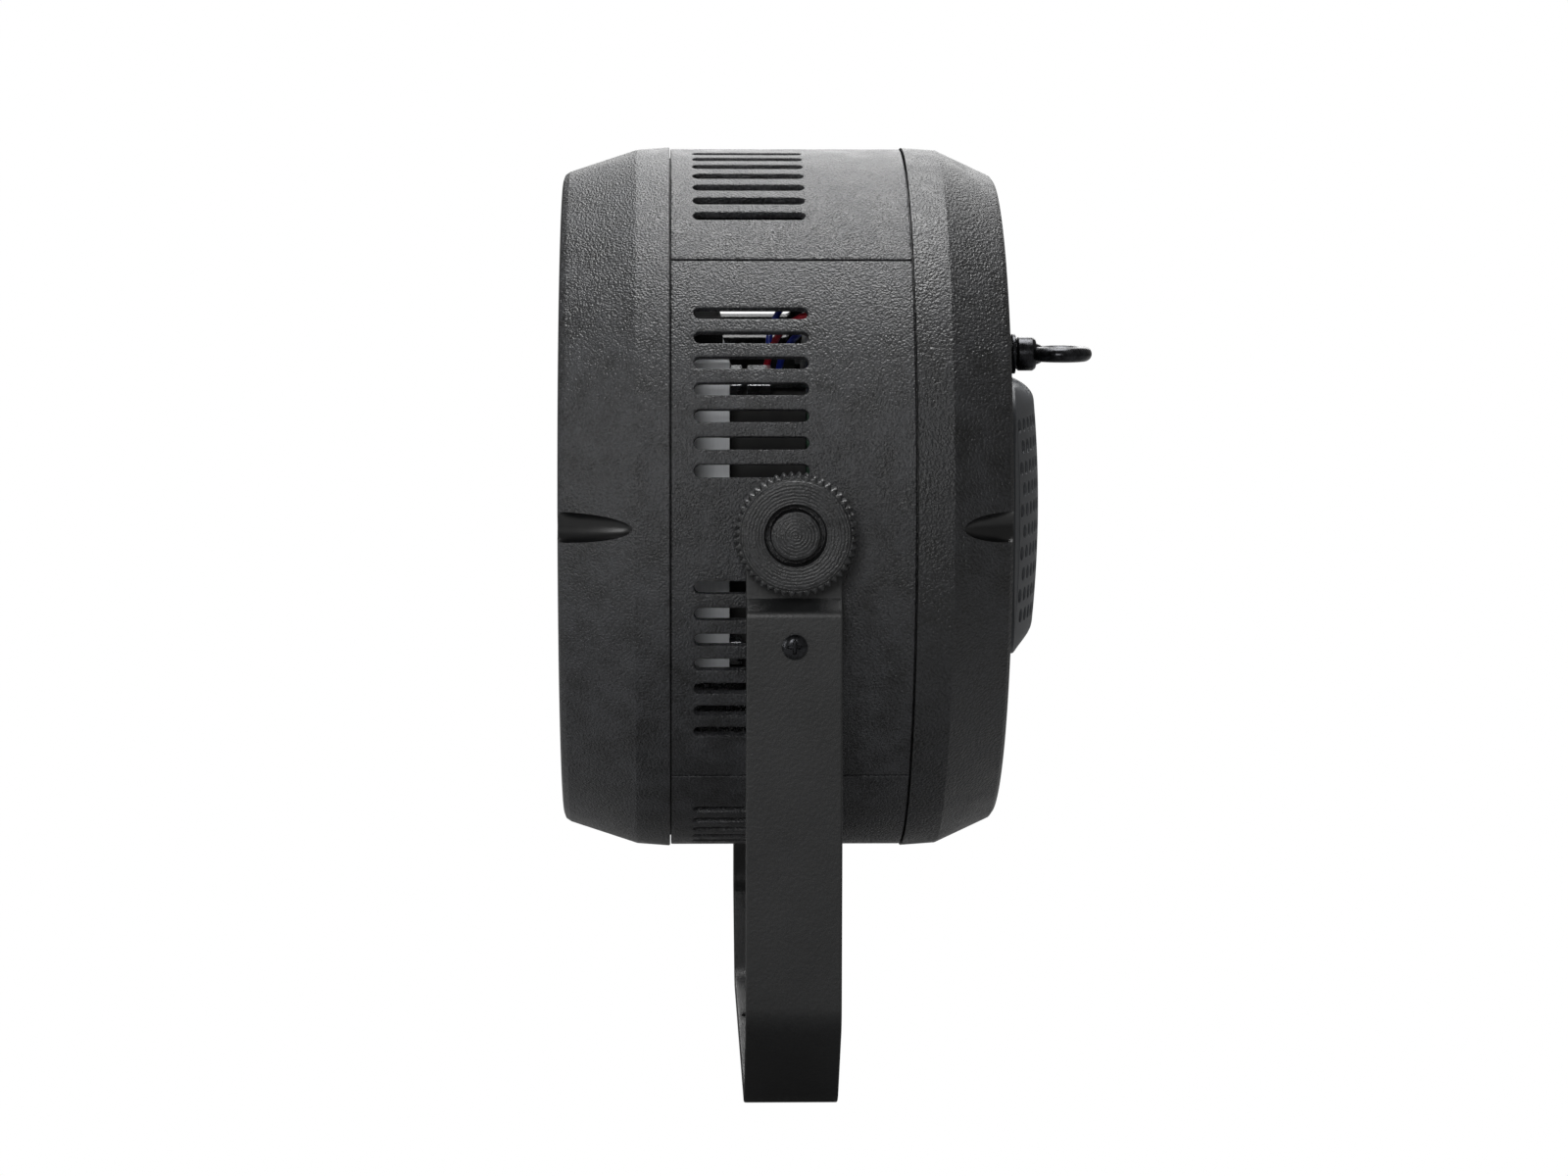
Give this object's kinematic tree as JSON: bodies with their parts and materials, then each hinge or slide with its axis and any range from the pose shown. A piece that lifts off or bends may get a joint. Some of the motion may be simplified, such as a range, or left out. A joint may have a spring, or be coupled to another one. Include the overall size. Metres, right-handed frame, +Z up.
{
  "type": "par can light",
  "caption": "Round flat stage par light with a vented plastic casing, a bent steel hanging yoke with tilt knobs, a rear fan grille and a safety eye bolt.",
  "frame": {"origin": "centre of the clamp hole, on the outer (lower) face of the yoke's base bar", "axes": "+Z up from the base bar through the tilt pivot, the light shines towards -Y, and the tilt pivot runs along X"},
  "size_m": [0.27, 0.1744, 0.2994],
  "materials": {
    "moulded_abs": "moulded ABS, fine spark-eroded grain",
    "powder_coated_steel": "black powder coat, fine texture",
    "blackened_steel": "black zinc, glossy",
    "zinc_plated_steel": "zinc plated",
    "black_nylon": "moulded nylon, satin",
    "rubber": "moulded rubber",
    "clear_acrylic": "clear moulded acrylic",
    "display_glass": "smoked window",
    "extruded_aluminium": "extruded, satin",
    "white_solder_mask": "white solder mask",
    "green_circuit_board": "glass-epoxy board",
    "red_pvc": "PVC insulation",
    "blue_pvc": "PVC insulation",
    "black_pvc": "PVC insulation"
  },
  "bodies": {
    "yoke": {"yoke_strap": "powder_coated_steel", "arm_screw_right": "blackened_steel", "arm_screw_left": "blackened_steel", "arm_nut_right": "zinc_plated_steel", "arm_nut_left": "zinc_plated_steel"},
    "head": {"front_ring": "moulded_abs", "side_panel_right": "moulded_abs", "top_panel": "moulded_abs", "side_panel_left": "moulded_abs", "bottom_panel": "moulded_abs", "rear_cover": "moulded_abs", "cover_screw_1": "blackened_steel", "cover_screw_2": "blackened_steel", "cover_screw_3": "blackened_steel", "cover_screw_4": "blackened_steel", "lens_cover": "clear_acrylic", "lens_seal": "rubber", "lens_plate": "clear_acrylic", "led_board": "white_solder_mask", "heat_sink": "extruded_aluminium", "standoff_1": "zinc_plated_steel", "standoff_2": "zinc_plated_steel", "standoff_3": "zinc_plated_steel", "standoff_4": "zinc_plated_steel", "chassis_plate": "zinc_plated_steel", "power_supply": "green_circuit_board", "driver_board": "green_circuit_board", "wire_red": "red_pvc", "wire_blue": "blue_pvc", "wire_left": "blue_pvc", "wire_lower": "black_pvc", "fan_frame": "black_nylon", "fan_grille": "moulded_abs", "eye_bolt": "blackened_steel", "eye_bolt_washer": "blackened_steel", "eye_bolt_nut": "zinc_plated_steel", "control_panel": "powder_coated_steel", "display": "display_glass", "data_in_socket": "black_nylon", "data_out_socket": "black_nylon", "power_inlet": "black_nylon", "power_outlet": "black_nylon", "threaded_insert_right": "zinc_plated_steel", "threaded_insert_left": "zinc_plated_steel", "friction_pad_right": "rubber", "friction_pad_left": "rubber"},
    "clamp_washer_right": {"knob_washer_right": "zinc_plated_steel"},
    "clamp_washer_left": {"knob_washer_left": "zinc_plated_steel"},
    "knob_right": {"knob_right": "black_nylon", "knob_stud_right": "zinc_plated_steel"},
    "knob_left": {"knob_left": "black_nylon", "knob_stud_left": "zinc_plated_steel"},
    "fan": {"fan_rotor": "black_nylon"},
    "latch": {"data_out_latch": "zinc_plated_steel"},
    "button_1": {"menu_button_1": "rubber"},
    "button_2": {"menu_button_2": "rubber"},
    "button_3": {"menu_button_3": "rubber"},
    "button_4": {"menu_button_4": "rubber"}
  },
  "joints": [
    {"name": "head_tilt", "type": "hinge", "parent": "yoke", "child": "head", "pos_m": [0, 0, 0.184], "axis": [1, 0, 0], "range_deg": [-110, 110]},
    {"name": "knob_travel_right", "type": "slide", "parent": "head", "child": "clamp_washer_right", "axis": [1, 0, 0], "range_m": [0, 0.0025]},
    {"name": "knob_turn_right", "type": "hinge", "parent": "clamp_washer_right", "child": "knob_right", "pos_m": [0.128, 0, 0.184], "axis": [1, 0, 0], "range_deg": [0, 720]},
    {"name": "knob_travel_left", "type": "slide", "parent": "head", "child": "clamp_washer_left", "axis": [-1, 0, 0], "range_m": [0, 0.0025]},
    {"name": "knob_turn_left", "type": "hinge", "parent": "clamp_washer_left", "child": "knob_left", "pos_m": [-0.128, 0, 0.184], "axis": [-1, 0, 0], "range_deg": [0, 720]},
    {"name": "fan_spin", "type": "hinge", "parent": "head", "child": "fan", "pos_m": [0, 0.057, 0.181], "axis": [0, 1, 0], "continuous": true},
    {"name": "button_1_press", "type": "slide", "parent": "head", "child": "button_1", "axis": [0, -1, 0], "range_m": [0, 0.0008], "stiffness_N_per_m": 300},
    {"name": "button_2_press", "type": "slide", "parent": "head", "child": "button_2", "axis": [0, -1, 0], "range_m": [0, 0.0008], "stiffness_N_per_m": 300},
    {"name": "button_3_press", "type": "slide", "parent": "head", "child": "button_3", "axis": [0, -1, 0], "range_m": [0, 0.0008], "stiffness_N_per_m": 300},
    {"name": "button_4_press", "type": "slide", "parent": "head", "child": "button_4", "axis": [0, -1, 0], "range_m": [0, 0.0008], "stiffness_N_per_m": 300},
    {"name": "latch_press", "type": "slide", "parent": "head", "child": "latch", "axis": [0, -1, 0], "range_m": [0, 0.0014], "stiffness_N_per_m": 300}
  ],
  "couplings": [
    {"joint": "knob_turn_right", "follows": "knob_travel_right", "rad_per_m": 5026.5},
    {"joint": "knob_turn_left", "follows": "knob_travel_left", "rad_per_m": 5026.5}
  ]
}
